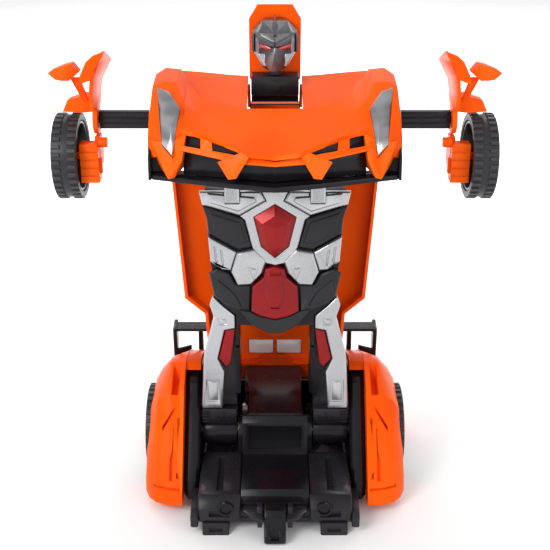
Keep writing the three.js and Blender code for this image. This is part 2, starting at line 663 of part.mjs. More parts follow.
// closed panel under a grid of points, of an even thickness measured down
function panelOf(columns, thickness) {
  const rows = columns[0].length;
  const top = columns.flat();
  const vertices = [...top, ...top.map(([x, y, z]) => [x, y, z - thickness])];
  const at = (i, j, low) => i * rows + j + (low ? top.length : 0);
  const triangles = [];
  const quad = (a, b, c, d) => triangles.push(a, b, c, a, c, d);
  columns.slice(1).forEach((_, i) => {
    for (let j = 0; j < rows - 1; j += 1) {
      quad(at(i, j), at(i, j + 1), at(i + 1, j + 1), at(i + 1, j));
      quad(at(i, j, true), at(i + 1, j, true), at(i + 1, j + 1, true), at(i, j + 1, true));
    }
    quad(at(i, 0), at(i + 1, 0), at(i + 1, 0, true), at(i, 0, true));
    quad(at(i, rows - 1), at(i, rows - 1, true), at(i + 1, rows - 1, true), at(i + 1, rows - 1));
  });
  const last = columns.length - 1;
  for (let j = 0; j < rows - 1; j += 1) {
    quad(at(0, j), at(0, j, true), at(0, j + 1, true), at(0, j + 1));
    quad(at(last, j), at(last, j + 1), at(last, j + 1, true), at(last, j, true));
  }
  return new wasm.Manifold(
    new wasm.Mesh({
      numProp: 3,
      vertProperties: new Float32Array(vertices.flat()),
      triVerts: new Uint32Array(triangles),
    }),
  );
}
function makeHood() {
  const well = bothSides((s) => rodX(wellRadius, s * 51, s * 90, foldedWheel.y, foldedWheel.z, 24));
  const wellFoot = bothSides((s) => block(s * 51, s * 90, -41, 20, 190, 236));
  const mirrored = hoodColumns.slice(1).reverse().map((column) => column.map(([x, y, z]) => [-x, y, z]));
  const panel = panelOf([...mirrored, ...hoodColumns], 2.6);
  const fenders = bothSides((s) => skinOf(fenderLines, s, 9));
  const notch = block(-15.6, 15.6, notchFront, 20, 200, 300);
  const rearTrim = block(-80, 80, 12, 20, 200, 300);
  const wall = profileX(
    [[notchFront - 2.6, 224], [notchFront - 2.6, 241.8], [notchFront, 242.4], [notchFront, 224]], -16, 16,
  );
  return join(cut(join(panel, fenders), well, wellFoot, notch, rearTrim), wall);
}
// lamp columns, slats and fangs below the hood's front edge
function makeBumper() {
  const columns = bothSides((s) => hull(mirrorX(s, [
      [47.6, -46.5, 226], [47.6, -52.6, 234.6], [54, -54.6, 231.2], [62, -52.6, 230.2],
      [66.8, -48.6, 230], [67, -46.4, 226],
      [50, -57.6, 221], [60, -56.4, 216.6], [57, -60.4, 211.6], [54, -59, 212], [58, -56, 212],
      [64, -45, 216], [60, -45, 212.6],
      [50, -44, 214], [52, -46, 212.6], [66.8, -43.4, 226],
  ])));
  const slats = bothSides((s) => hull(mirrorX(s, [
    [0, -70.4, 224], [0, -71.6, 221.6], [0, -68, 221], [17, -66.4, 224.2], [17, -67.6, 221.8],
    [17, -64, 221.2],
    [51.5, -55, 229], [51.5, -56, 226.4], [51.5, -50, 226],
  ])));
  const fangs = bothSides((s) => hull(mirrorX(s, [
    [12.5, -69, 228], [17.4, -67.6, 228.4], [30.4, -65.4, 222.4], [24.6, -70.6, 214.4], [20.4, -71.6, 215.2],
    [12.5, -65.4, 227.4], [17.4, -64, 227.8], [30, -62.4, 221.8], [24.6, -66.6, 213.8], [20.4, -67.6, 214.6],
  ])));
  const tabs = bothSides((s) => hull(mirrorX(s, [
    [32.8, -61.6, 224.6], [39.6, -59.4, 226], [39.6, -57, 233.4], [33.6, -59.6, 231.6],
    [32.8, -57.6, 224.6], [39.6, -55.4, 226], [39.6, -53, 233.4], [33.6, -55.6, 231.6],
  ])));
  return join(columns, slats, fangs, tabs);
}
// headlamp: a lens let into the fender and its lamp column
const lampOutline = [
  [64.6, -30, 254.6], [58, -33.4, 253.2], [51.2, -44, 246.4], [55.4, -51.6, 239], [54.8, -59, 224.4],
  [60.6, -53.6, 229],
];
function makeLamp(s, margin) {
  const middle = { x: 57.6, y: -44, z: 241 };
  const spread = 1 + margin / 12;
  const at = ([x, y, z], dy, dz) => [
    s * (middle.x + (x - middle.x) * spread),
    middle.y + (y - middle.y) * spread + dy,
    middle.z + (z - middle.z) * spread + dz,
  ];
  const lift = 0.4 + margin * 8;
  const face = lampOutline.map((p) => at(p, -lift, lift));
  const back = lampOutline.map((p) => at(p, 3 + margin, -3 - margin));
  return hull([...face, ...back]);
}
const lampPockets = bothSides((s) => makeLamp(s, gap));
const hoodSolid = cut(makeHood(), lampPockets);
const hoodReach = join(
  hoodSolid,
  hoodSolid.translate([0, -gap, -gap]),
  hoodSolid.translate([gap, -gap, 0]),
  hoodSolid.translate([-gap, -gap, 0]),
);
addPart('hood', hoodSolid, orange);
const bumperSolid = cut(makeBumper(), hoodReach, lampPockets);
addPart('front_bumper', bumperSolid, orange);
for (const { name, s } of sides) addPart(`${name}_headlamp`, makeLamp(s, 0), lampClear);

const lip = { z: 208.6, top: 211.2 };
function makeSplitter() {
  const outline = [
    [0, -75], [24, -67.6], [30, -65.4], [67, -51.2], [67.6, -42.6], [48, -41.6], [48, -46], [0, -46],
  ];
  const blade = bothSides((s) => {
    const sheet = extrude(mirrorX(s, outline), lip.top - lip.z, 0);
    return toSolid(sheet.translate(0, 0, lip.z));
  });
  const fins = bothSides((s) =>
    profileX(
      [[-52.6, lip.z], [-50.6, 221], [-43.4, 229.4], [-42.4, 228], [-42.6, lip.z]],
      s * 67.4,
      s * 69,
      0.3,
    ),
  );
  const roots = bothSides((s) => block(s * 64, s * 68, -49.6, -43, lip.z, lip.z + 1.6));
  const cheek = [[56, lip.z], [68.6, lip.z], [68.6, 227], [62, 222], [56, 212]];
  const cheeks = bothSides((s) => profileY(mirrorX(s, cheek), -43.4, -41.8));
  return join(blade, fins, roots, cheeks);
}
addPart(
  'front_splitter',
  mainBody(cut(makeSplitter(), hoodReach, hoodSolid.translate([0, gap, -gap]))),
  black,
);

function makeChestFrame() {
  const sideBlocks = bothSides((s) => {
    const body = block(s * 29, s * 47, -48, 1, 214, 234);
    const sleeve = profileX(
      [[0.9, 219.6], [13.8, 219.6], [15.6, 227], [15.6, 236.4], [0.9, 236.4]], s * 33, s * 47,
    );
    const channel = block(s * 32, s * 48, arm.y - tubeHalf.y - gap, arm.y + tubeHalf.y + gap,
      arm.z - tubeHalf.z - gap, arm.z + tubeHalf.z + gap);
    return cut(join(body, sleeve), channel);
  });
  const grille = bothSides((s) => hull(mirrorX(s, [
    [0, -66.4, 212], [0, -66.4, 226.6], [30, -61.6, 230.4], [49.6, -49.6, 233.4], [49.6, -52, 212],
    [0, -46, 212], [0, -46, 226.6], [49.6, -46, 233.4], [49.6, -46, 212],
  ])));
  const tunnelWalls = bothSides((s) => block(s * tunnel, s * 20, -47, 3, 212, 238));
  const recessFloor = block(-tunnel - 0.1, tunnel + 0.1, -47, 4.8, 213, 216);
  const recessWall = profileX(
    [[4, 213], [4, 216], [8.4, 216], [8.4, 237.4], [10.4, 237.4], [10.4, 213]],
    -14.8,
    14.8,
  );
  const pivots = bothSides((s) => rodX(2, s * 17, s * 32, neckline.y, neckline.z, 20));
  const lugRoom = bothSides((s) => block(s * 20.2, s * 28.8, -40, 30, 180, 236.6));
  const solid = join(sideBlocks, grille, tunnelWalls, recessFloor, recessWall);
  const reach = join(
    hoodSolid, hoodSolid.translate([0, 0, -gap]), bumperSolid, bumperSolid.translate([0, gap, 0]),
  );
  return join(cut(solid, lugRoom, reach, block(-80, 80, -90, 0, 200, lip.top + gap)), pivots);
}
addPart('chest_frame', makeChestFrame(), black);

// ---- head, on the plate that fills the notch in the hood when it folds down ----
const plateTop = 294;
function makeHeadPlate() {
  const outline = [[-15, 251.4], [15, 251.4], [15, 286], [10, plateTop], [-10, plateTop], [-15, 286]];
  const plate = profileY(outline, 11.4, 14, 0.5);
  const barrel = rodX(2.4, -13, 13, headHinge.y, headHinge.z, 20);
  return join(plate, barrel);
}
addPart('head_plate', makeHeadPlate(), orange);
function makeNeck() {
  const blockShape = profileX([[0, 244.6], [0, 255], [8.2, 256.4], [8.2, 243.6], [3, 243]], -13.8, 13.8, 0.6);
  const apron = block(-13.8, 13.8, 7, 9.5, 239, 245);
  const emblemBoss = rodY(3.2, 0, -0.9, 1, 249.6, 24);
  const collar = rodZ(3.4, 0, 3.4, 255.8, 259.6, 16);
  return join(blockShape, apron, emblemBoss, collar);
}
addPart('neck_block', makeNeck(), charcoal);
// head: a helmet with a faceted mask, narrow at the chin
function makeHead() {
  const helmet = hull([
    [-7, 10.8, 260], [7, 10.8, 260], [-12.6, 10.8, 268], [12.6, 10.8, 268], [-12.6, 10.8, 281],
    [12.6, 10.8, 281], [-6, 10.8, 287], [6, 10.8, 287],
    [-12.8, 0, 271], [12.8, 0, 271], [-12.4, -2, 281], [12.4, -2, 281], [-7, 0, 286.6], [7, 0, 286.6],
    [-9, -9, 281], [9, -9, 281], [-9, -8, 270], [9, -8, 270], [0, -12.6, 281], [0, -13.6, 271],
    [-6.4, -6, 261], [6.4, -6, 261], [-3, -11, 260.4], [3, -11, 260.4],
  ]);
  const crest = hull([
    [-1.4, 9, 287], [1.4, 9, 287], [0, 9, 289.6], [-1.6, -6, 285], [1.6, -6, 285], [0, -8, 289.4],
    [-1.2, -12, 279], [1.2, -12, 279], [0, -14.4, 281],
  ]);
  const brow = bothSides((s) => hull(mirrorX(s, [
    [0.4, -13.4, 276.4], [0.4, -14.8, 274.4], [9.6, -9.6, 280.4], [11, -7.4, 277], [9, -9.6, 274.6],
    [1.4, -11, 271.6], [6, -6, 277],
  ])));
  const ears = bothSides((s) => hull(mirrorX(s, [
    [12, -3, 269], [12, 6, 269], [12, 6, 279], [12, -4, 280], [13.4, -2, 270.6], [13.4, 4, 270.6],
    [13.4, 4, 278], [13.4, -3, 279],
  ])));
  const mask = hull([
    [-7.6, -8, 271], [7.6, -8, 271], [0, -15, 271.6], [-5.4, -11, 264], [5.4, -11, 264],
    [-2.6, -13.4, 260.4], [2.6, -13.4, 260.4], [0, -8, 259.8],
  ]);
  const neckRoom = rodZ(3.4 + gap, 0, 3.4, 250, 259.9, 16);
  return cut(join(helmet, crest, ears, mask, brow), neckRoom, block(-20, 20, 10.8, 20, 240, 300));
}
addPart('head', makeHead(), gunmetal);

// ---- arms ----
for (const { name, s } of sides) {
  const outer = block(
    s * 37.5, s * 73.5, arm.y - tubeHalf.y, arm.y + tubeHalf.y, arm.z - tubeHalf.z, arm.z + tubeHalf.z,
  );
  const bore = block(s * 30, s * 80, arm.y - rodHalf.y - gap, arm.y + rodHalf.y + gap,
    arm.z - rodHalf.z - gap, arm.z + rodHalf.z + gap);
  addPart(`${name}_arm_tube`, cut(outer, bore), black);
}
for (const { name, s } of sides) {
  const bar = block(
    s * 67.5, s * 104, arm.y - rodHalf.y, arm.y + rodHalf.y, arm.z - rodHalf.z, arm.z + rodHalf.z,
  );
  const grooves = [-1.6, 1.6].map((dz) =>
    block(
      s * 60, s * 110, arm.y - rodHalf.y - 1, arm.y - rodHalf.y + 0.6, arm.z + dz - 0.5,
      arm.z + dz + 0.5,
    ),
  );
  const pivot = rodX(2.4, s * 103.9, s * 107.2, arm.y, arm.z, 16);
  addPart(`${name}_arm_rod`, join(cut(bar, ...grooves), pivot), black);
}

// forearm: door with its mirror, and the fist that carries the front wheel's axle
function makeMirror(s) {
  const housing = hull(mirrorX(s, [
    [130.4, -2, 257.2], [127.6, -6, 259.4], [127.6, 3, 259.4], [125.6, -5.6, 254.2], [125.6, 3, 254.6],
    [121, -7, 262],
    [121, 4, 262], [116, -6.4, 263.2], [116, 4, 263.2], [111.8, -4, 258.4], [111.8, 3, 258.4],
    [117.6, -6, 253.6], [117.6, 3, 253.8],
    [122, -7.6, 254],
  ]));
  const stalk = hull(mirrorX(s, [
    [112.8, -2, 254.6], [117.6, -2, 254.4], [112.8, 2, 254.6], [117.6, 2, 254.4], [109.4, 4, 240],
    [112.4, 4, 240],
    [109.4, 8, 240], [112.4, 8, 240],
  ]));
  return join(housing, stalk);
}
for (const { name, s } of sides) {
  const hub = rodX(8.6, s * 104.4, s * 107.2, arm.y, arm.z, 16);
  const shoulder = hull(mirrorX(s, [
    [104.4, 4, 234], [104.4, 18, 234], [112, 4, 233], [112, 18, 233], [125, 5, 233.4], [125, 17, 233.4],
    [104.4, 6, 240], [104.4, 18, 240], [112, 4.6, 243], [112, 17, 243], [122, 6, 240], [122, 16, 240],
  ]));
  const sweep = (z, depth) => (depth * 0.34 * (z - 236)) / 34;
  const panelRings = [
    [236, 104.6, 107, -2.4, 22], [246, 104.4, 106.6, -8, 23], [256, 103.2, 105.2, -8.4, 23.6],
    [264, 99.8, 102, -7, 22],
    [270.6, 96.2, 97.6, -6, 18],
  ].map(([z, xa, xb, ya, yb]) => {
    const rear = z - sweep(z, yb - ya);
    return mirrorX(s, [[xa, ya, z], [xb, ya, z], [xa, yb, rear], [xb, yb, rear]]);
  });
  const panel = panelRings.slice(1).map((ring, i) => hull([...panelRings[i], ...ring]));
  const flare = [
    [[111.5, 252], [105.2, 254.4], [102.4, 258], [102.6, 262], [110.6, 257.6]],
    [[110.6, 257.4], [102.6, 260], [101, 263], [100.4, 266], [106.8, 265]],
    [[106.9, 264.8], [101, 263], [97.4, 267.6], [96.3, 270.6], [103.2, 268]],
  ].map((ring) => profileY(mirrorX(s, ring), -9, -5.4));
  const bore = rodX(2.4 + gap, s * 100, s * 113, arm.y, arm.z, 20);
  const wheelRoom = rodX(wellRadius - 1.6, s * 115.2, s * 132, frontWheel.y, frontWheel.z, 20);
  const door = cut(join(hub, shoulder, ...panel, ...flare, makeMirror(s)), bore, wheelRoom);
  addPart(`${name}_door`, door, orange);
}
for (const { name, s } of sides) {
  const link = profileX(
    [[6, 199], [4, 208], [5, 218.6], [16, 218.6], [20, 208], [18, 199]],
    s * 104.4,
    s * 107.4,
    0.5,
  );
  const axleBoss = rodX(4.6, s * 104.6, s * 109.6, frontWheel.y, frontWheel.z, 24);
  const stub = rodX(2, s * 105, s * 129.6, frontWheel.y, frontWheel.z, 20);
  const palm = block(s * 104.6, s * 115.4, -2, 8, 192, 215.4);
  const knuckles = [0, 1, 2, 3].map((row) => block(
    s * 103, s * 117, -3, -1.4, 195.8 + row * 4.8, 196.5 + row * 4.8,
  ));
  const studs = block(s * 103, s * 104.7, 1, 4, 197, 206);
  const boss = rodX(3.1, s * 99.4, s * 104.7, 3, 215.6, 16);
  addPart(`${name}_fist`, join(cut(palm, ...knuckles), link, axleBoss, stub, studs, boss), orange);
}

// ---- front wheels ----
for (const { name, s } of sides) {
  addPart(`${name}_front_tyre`, makeTyre(frontWheel, s), tyreRubber);
  addPart(`${name}_front_rim`, makeFrontRim(s), black);
}

// open drum, with its web near the outer face so that the fist has room inside it
function makeFrontRim(side) {
  const rimR = frontWheel.r - tyreWall - gap;
  const web = frontWheel.out - 4;
  const profile = [
    [2 + gap, web - 6], [4.6, web - 6], [4.6, web], [rimR - 1.4, web], [rimR - 1.4, frontWheel.in + 0.8],
    [rimR, frontWheel.in + 0.8], [rimR, frontWheel.out - 0.8],
    [rimR - 3, web + 2], [5, web + 2.6], [2 + gap, frontWheel.out - 1], [2 + gap, web - 6],
  ];
  const disc = turnedX(profile, frontWheel.y, frontWheel.z, side, 20);
  return cut(disc, ...rimWindows(frontWheel, rimR - 4.4, side, web));
}

export default robot;
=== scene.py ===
# Transforming robot car, standing as a robot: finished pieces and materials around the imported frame.
# Metres, +Z up, the robot faces -Y. Every piece rides on the body that its frame node belongs to.
# Sizes given to the modelling tools are in millimetres.
import json
import math

import bmesh
import bpy
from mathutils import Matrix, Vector


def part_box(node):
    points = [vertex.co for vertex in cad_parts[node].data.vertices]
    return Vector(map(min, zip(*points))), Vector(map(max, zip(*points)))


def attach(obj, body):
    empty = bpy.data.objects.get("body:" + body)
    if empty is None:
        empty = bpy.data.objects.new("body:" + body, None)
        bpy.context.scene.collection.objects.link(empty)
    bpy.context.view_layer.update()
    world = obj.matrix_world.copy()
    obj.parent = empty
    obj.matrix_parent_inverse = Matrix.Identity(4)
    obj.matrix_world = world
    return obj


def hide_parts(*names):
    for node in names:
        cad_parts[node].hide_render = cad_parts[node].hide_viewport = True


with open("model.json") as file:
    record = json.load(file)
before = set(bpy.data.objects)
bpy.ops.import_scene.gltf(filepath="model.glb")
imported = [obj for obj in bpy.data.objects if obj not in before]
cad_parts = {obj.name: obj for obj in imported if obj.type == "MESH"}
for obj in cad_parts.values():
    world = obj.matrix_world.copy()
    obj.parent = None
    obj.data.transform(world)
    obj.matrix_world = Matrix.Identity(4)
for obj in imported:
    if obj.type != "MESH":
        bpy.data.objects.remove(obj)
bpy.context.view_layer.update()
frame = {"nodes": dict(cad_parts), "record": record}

MM = 0.001
SIDES = (("left", -1), ("right", 1))
BODY_OF = {node: body for body, nodes in frame["record"]["behaviour"]["bodies"].items() for node in nodes}
SLOT_OF = {part["node"]: part["material_slot"] for part in frame["record"]["subparts"]}

# ---------------------------------------------------------------- camera
AIM = Vector((0.0, -0.0035, 0.140))
ELEVATION = math.radians(22)
DISTANCE = 0.600
SENSOR = 36.0
FOCAL_RATIO = 1000 / 550  # focal length over the picture's width
away = Vector((0.0, -math.cos(ELEVATION), math.sin(ELEVATION)))
bpy.ops.object.camera_add(location=AIM + DISTANCE * away, rotation=(math.pi / 2 - ELEVATION, 0.0, 0.0))
camera = bpy.context.object
camera.data.sensor_width = SENSOR
camera.data.lens = SENSOR * FOCAL_RATIO
camera.data.clip_start = 0.01
bpy.context.scene.camera = camera
bpy.context.scene.view_settings.view_transform = "Standard"


# ---------------------------------------------------------------- shader maths
class Value:
    """A socket of a material's node tree, so that shader maths reads as arithmetic."""

    def __init__(self, tree, socket=None):
        self.tree = tree
        self.socket = socket

    def node(self, kind, settings=None, values=None, output=0):
        """Adds a node with its settings, then the values or links of its sockets."""
        made = self.tree.nodes.new(kind)
        for name, value in (settings or {}).items():
            setattr(made, name, value)
        for name, value in (values or {}).items():
            if isinstance(value, Value):
                self.tree.links.new(value.socket, made.inputs[name])
            else:
                made.inputs[name].default_value = value
        return Value(self.tree, made.outputs[output])

    def _math(self, operation, first, second):
        return self.node("ShaderNodeMath", {"operation": operation}, {0: first, 1: second})

    def __add__(self, other):
        return self._math("ADD", self, other)

    def __sub__(self, other):
        return self._math("SUBTRACT", self, other)

    def __rsub__(self, other):
        return self._math("SUBTRACT", other, self)

    def __mul__(self, other):
        return self._math("MULTIPLY", self, other)

    __radd__ = __add__
    __rmul__ = __mul__

    def ease(self, low, high):
        """0 below low, 1 above high, eased between."""
        settings = {"interpolation_type": "SMOOTHSTEP"}
        return self.node("ShaderNodeMapRange", settings, {"Value": self, "From Min": low, "From Max": high})

    def mix(self, first, second):
        """Blend of two colours, this value being the share of the second."""
        return self.node("ShaderNodeMix", {"data_type": "RGBA"}, {0: self, 6: first, 7: second}, 2)

    def noise(self, scale, detail=2.0, roughness=0.5, stretch=(1.0, 1.0, 1.0)):
        """Noise on the piece's own coordinates; scale counts per metre."""
        place = self.node("ShaderNodeTexCoord", output="Object")
        if stretch != (1.0, 1.0, 1.0):
            place = self.node("ShaderNodeMapping", values={"Vector": place, "Scale": stretch})
        values = {"Vector": place, "Scale": scale, "Detail": detail, "Roughness": roughness}
        return self.node("ShaderNodeTexNoise", values=values)

    def height(self):
        """Height over the floor, in metres."""
        place = self.node("ShaderNodeTexCoord", output="Object")
        return self.node("ShaderNodeSeparateXYZ", values={"Vector": place}, output="Z")

    def rubbed(self, low, high):
        """1 along the outer edges of a piece, 0 on its faces."""
        return self.node("ShaderNodeNewGeometry", output="Pointiness").ease(low, high)

    def bump(self, strength, distance):
        """Normal of a fine relief, distance metres deep."""
        values = {"Height": self, "Strength": strength, "Distance": distance}
        return self.node("ShaderNodeBump", values=values)


def new_material(name, **fixed):
    """A material with one Principled shader; fixed holds its uniform sockets."""
    material = bpy.data.materials.new(name)
    material.use_nodes = True
    shader = material.node_tree.nodes["Principled BSDF"]
    for socket, value in fixed.items():
        shader.inputs[socket.replace("_", " ")].default_value = value
    return material, Value(material.node_tree), shader


def drive(tree, shader, **values):
    """Links what varies over a surface into the shader's sockets."""
    for name, value in values.items():
        tree.tree.links.new(value.socket, shader.inputs[name.replace("_", " ")])


def rgb(red, green, blue):
    return (red, green, blue, 1.0)


# ---------------------------------------------------------------- finishes
def moulded_plastic(name, body, shade, edge, gloss, grain, specular=0.3, coat=0.0):
    """Moulded plastic: slow colour drift, fine grain, flow marks and paler rubbed edges."""
    material, tree, shader = new_material(
        name, Coat_Weight=coat, Coat_Roughness=0.12, Specular_IOR_Level=specular)
    drift = tree.noise(22.0, 3.0).ease(0.35, 0.65)
    colour = drift.mix(shade, body)
    colour = (tree.rubbed(0.53, 0.62) * 0.4).mix(colour, edge)
    fine = tree.noise(900.0, 3.0, 0.6)
    scuff = tree.noise(140.0, 6.0, 0.7, (1.0, 1.0, 0.35)).ease(0.56, 0.74)
    roughness = gloss + fine * 0.10 + scuff * 0.12
    drive(tree, shader, Base_Color=colour, Roughness=roughness, Normal=fine.bump(grain, 0.0001))
    return material


def sprayed_metallic(name, body, shade, edge, metal, gloss, coat):
    """Plastic sprayed with a metallic paint: flakes, orange peel and rubbed edges."""
    material, tree, shader = new_material(name, Coat_Weight=coat, Coat_Roughness=0.08)
    flakes = tree.noise(2600.0, 1.0, 0.5)
    drift = tree.noise(30.0, 3.0).ease(0.3, 0.7)
    colour = drift.mix(shade, body)
    colour = (flakes.ease(0.42, 0.62) * 0.3).mix(colour, edge)
    colour = (tree.rubbed(0.54, 0.64) * 0.5).mix(colour, edge)
    peel = tree.noise(420.0, 2.0)
    metallic = metal - tree.rubbed(0.55, 0.66) * 0.2
    normal = (peel * 0.7 + flakes * 0.3).bump(0.12, 0.0001)
    drive(tree, shader, Base_Color=colour, Roughness=gloss + flakes * 0.14, Metallic=metallic, Normal=normal)
    return material


def turned_steel(name):
    """Bare steel with fine turning lines round the axle."""
    material, tree, shader = new_material(name, Metallic=1.0)
    lines = tree.noise(1.0, 3.0, 0.5, (3000.0, 120.0, 120.0))
    colour = lines.mix(rgb(0.30, 0.30, 0.31), rgb(0.62, 0.62, 0.64))
    drive(tree, shader, Base_Color=colour, Roughness=0.24 + lines * 0.2, Normal=lines.bump(0.1, 0.00005))
    return material


def moulded_lens(name, tint, bright, gloss, chrome_below=0.0):
    """Glossy lens with faint flutes, and a chromed reflector showing below a height."""
    material, tree, shader = new_material(name, Coat_Weight=0.8, Coat_Roughness=0.03, Specular_IOR_Level=0.6)
    flutes = tree.noise(60.0, 1.0, 0.5, (1.0, 1.0, 3.0))
    colour = flutes.ease(0.3, 0.7).mix(tint, bright)
    if chrome_below:
        chrome = 1 - tree.height().ease(chrome_below - 0.004, chrome_below + 0.002)
        colour = chrome.mix(colour, rgb(0.75, 0.76, 0.78))
        drive(tree, shader, Metallic=chrome * 0.9)
    drive(tree, shader, Base_Color=colour, Roughness=gloss + flutes * 0.08, Normal=flutes.bump(0.05, 0.0003))
    return material


# each line of colours holds the body, its second shade and its rubbed edge
FINISH = {
    "orange_shell": moulded_plastic(
        "orange_shell",
        rgb(0.98, 0.105, 0.001), rgb(0.93, 0.085, 0.001), rgb(1.0, 0.20, 0.02),
        gloss=0.26, grain=0.05, specular=0.07),
    "black_plastic": moulded_plastic(
        "black_plastic",
        rgb(0.0050, 0.0044, 0.0066), rgb(0.0074, 0.0066, 0.0094), rgb(0.04, 0.036, 0.046),
        gloss=0.20, grain=0.12, specular=0.26),
    "charcoal_plastic": moulded_plastic(
        "charcoal_plastic",
        rgb(0.017, 0.0173, 0.021), rgb(0.012, 0.012, 0.015), rgb(0.09, 0.09, 0.105),
        gloss=0.26, grain=0.14, specular=0.34),
    "silver_paint": sprayed_metallic(
        "silver_paint",
        rgb(0.53, 0.535, 0.56), rgb(0.42, 0.425, 0.45), rgb(0.80, 0.81, 0.85),
        metal=0.92, gloss=0.22, coat=0.1),
    "metallic_red": sprayed_metallic(
        "metallic_red",
        rgb(0.29, 0.001, 0.003), rgb(0.19, 0.001, 0.002), rgb(0.48, 0.006, 0.009),
        metal=0.45, gloss=0.24, coat=0.08),
    "gunmetal": sprayed_metallic(
        "gunmetal",
        rgb(0.075, 0.072, 0.080), rgb(0.045, 0.042, 0.048), rgb(0.36, 0.35, 0.38),
        metal=0.75, gloss=0.24, coat=0.3),
    "tyre_rubber": moulded_plastic(
        "tyre_rubber",
        rgb(0.014, 0.014, 0.017), rgb(0.019, 0.019, 0.022), rgb(0.07, 0.07, 0.08),
        gloss=0.36, grain=0.22, specular=0.4),
    "battery_wrap": moulded_plastic(
        "battery_wrap",
        rgb(0.02, 0.05, 0.22), rgb(0.02, 0.04, 0.16), rgb(0.1, 0.2, 0.5),
        gloss=0.3, grain=0.06),
    "board_green": moulded_plastic(
        "board_green",
        rgb(0.01, 0.11, 0.035), rgb(0.008, 0.08, 0.028), rgb(0.3, 0.35, 0.2),
        gloss=0.3, grain=0.1),
    "steel": turned_steel("steel"),
    "lamp_lens": moulded_lens(
        "lamp_lens", rgb(0.13, 0.13, 0.14), rgb(0.24, 0.24, 0.26), gloss=0.12, chrome_below=0.231),
    "tail_lens": moulded_lens(
        "tail_lens", rgb(0.40, 0.008, 0.008), rgb(0.60, 0.02, 0.02), gloss=0.08),
    "window_white": moulded_lens(
        "window_white", rgb(0.80, 0.80, 0.83), rgb(0.90, 0.90, 0.93), gloss=0.12),
}


# ---------------------------------------------------------------- modelling tools
def deselect():
    bpy.ops.object.select_all(action="DESELECT")


def activate(piece):
    deselect()
    piece.select_set(True)
    bpy.context.view_layer.objects.active = piece


def edit_all(piece, *operations):
    """Runs mesh operators on the whole of a piece in edit mode."""
    activate(piece)
    bpy.ops.object.mode_set(mode="EDIT")
    bpy.ops.mesh.select_all(action="SELECT")
    for operation in operations:
        operation()
    bpy.ops.object.mode_set(mode="OBJECT")


def edit_faces(piece, wanted, *operations):
    """Runs mesh operators on the faces whose centre and normal are wanted."""
    activate(piece)
    bpy.ops.object.mode_set(mode="EDIT")
    bpy.ops.mesh.select_mode(type="FACE")
    mesh = bmesh.from_edit_mesh(piece.data)
    for face in mesh.faces:
        face.select_set(bool(wanted(face.calc_center_median(), face.normal)))
    mesh.select_flush_mode()
    bmesh.update_edit_mesh(piece.data)
    for operation in operations:
        operation()
    bpy.ops.object.mode_set(mode="OBJECT")


def facing(axis, side, least=0.9):
    """Picks the faces that look along an axis, towards its + or - side."""
    return lambda middle, normal: getattr(normal, axis) * side > least


def inset(thickness, depth=0.0):
    return lambda: bpy.ops.mesh.inset(thickness=thickness * MM, depth=depth * MM)


def resize(x, y, z):
    return lambda: bpy.ops.transform.resize(value=(x, y, z))


def move(x, y, z):
    return lambda: bpy.ops.transform.translate(value=(x * MM, y * MM, z * MM))


def between(side, near, far):
    """Lowest and highest x of a piece that lies between two distances from the middle."""
    return sorted((side * near, side * far))


def modify(piece, kind, **settings):
    """Adds a modifier and applies it."""
    activate(piece)
    modifier = piece.modifiers.new(kind.title(), kind)
    for name, value in settings.items():
        setattr(modifier, name, value)
    bpy.ops.object.modifier_apply(modifier=modifier.name)


def soften(piece, width, segments=2, angle=28.0, smooth=32.0):
    """Rounds the sharp edges and shades the rest smooth; width in millimetres."""
    modify(piece, "BEVEL", width=width * MM, segments=segments, limit_method="ANGLE",
           angle_limit=math.radians(angle), use_clamp_overlap=True)
    activate(piece)
    bpy.ops.object.shade_smooth_by_angle(angle=math.radians(smooth))


def settle():
    """Puts the selected pieces' place into their meshes."""
    bpy.ops.object.transform_apply(location=True, rotation=True, scale=True)


def slab(name, low, high):
    """A block between two corners in millimetres, on the robot's own axes, to be shaped further."""
    deselect()
    low, high = Vector(low) * MM, Vector(high) * MM
    bpy.ops.mesh.primitive_cube_add(size=1.0, location=(low + high) / 2, scale=high - low)
    piece = bpy.context.object
    piece.name = name
    settle()
    return piece


def turned(name, centre, radius, depth, vertices=32, axis="Z", capped=True):
    """A cylinder in millimetres along an axis, to be shaped further."""
    deselect()
    turn = {"X": (0.0, math.pi / 2, 0.0), "Y": (math.pi / 2, 0.0, 0.0), "Z": (0.0, 0.0, 0.0)}[axis]
    bpy.ops.mesh.primitive_cylinder_add(
        vertices=vertices, radius=radius * MM, depth=depth * MM, location=Vector(centre) * MM, rotation=turn,
        end_fill_type="NGON" if capped else "NOTHING")
    piece = bpy.context.object
    piece.name = name
    settle()
    return piece


def merge(pieces, name):
    """Joins pieces into one."""
    deselect()
    for piece in pieces:
        piece.select_set(True)
    bpy.context.view_layer.objects.active = pieces[0]
    bpy.ops.object.join()
    pieces[0].name = name
    return pieces[0]


def place(piece, nodes=(), slot=None, body=None):
    """Gives a piece its finish and body, and lets it stand for the nodes that it replaces."""
    nodes = [nodes] if isinstance(nodes, str) else list(nodes)
    slot = slot or SLOT_OF[nodes[0]]
    piece.data.materials.clear()
    piece.data.materials.append(FINISH[slot])
    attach(piece, body or BODY_OF[nodes[0]])
    if nodes:
        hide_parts(*nodes)
    return piece


def refine(node_name, width=0.35, segments=2, angle=28.0, smooth=32.0, dissolve=True):
    """A finished copy of a frame node: merged, its flat faces made whole and its edges rounded."""
    piece = frame["nodes"][node_name].copy()
    piece.data = piece.data.copy()
    piece.name = node_name + "_finished"
    bpy.context.scene.collection.objects.link(piece)
    piece.parent = None
    edit_all(piece, lambda: bpy.ops.mesh.remove_doubles(threshold=0.02 * MM))
    if dissolve:
        edit_all(piece, lambda: bpy.ops.mesh.dissolve_limited(angle_limit=math.radians(1.5)))
    soften(piece, width, segments, angle, smooth)
    return place(piece, node_name)


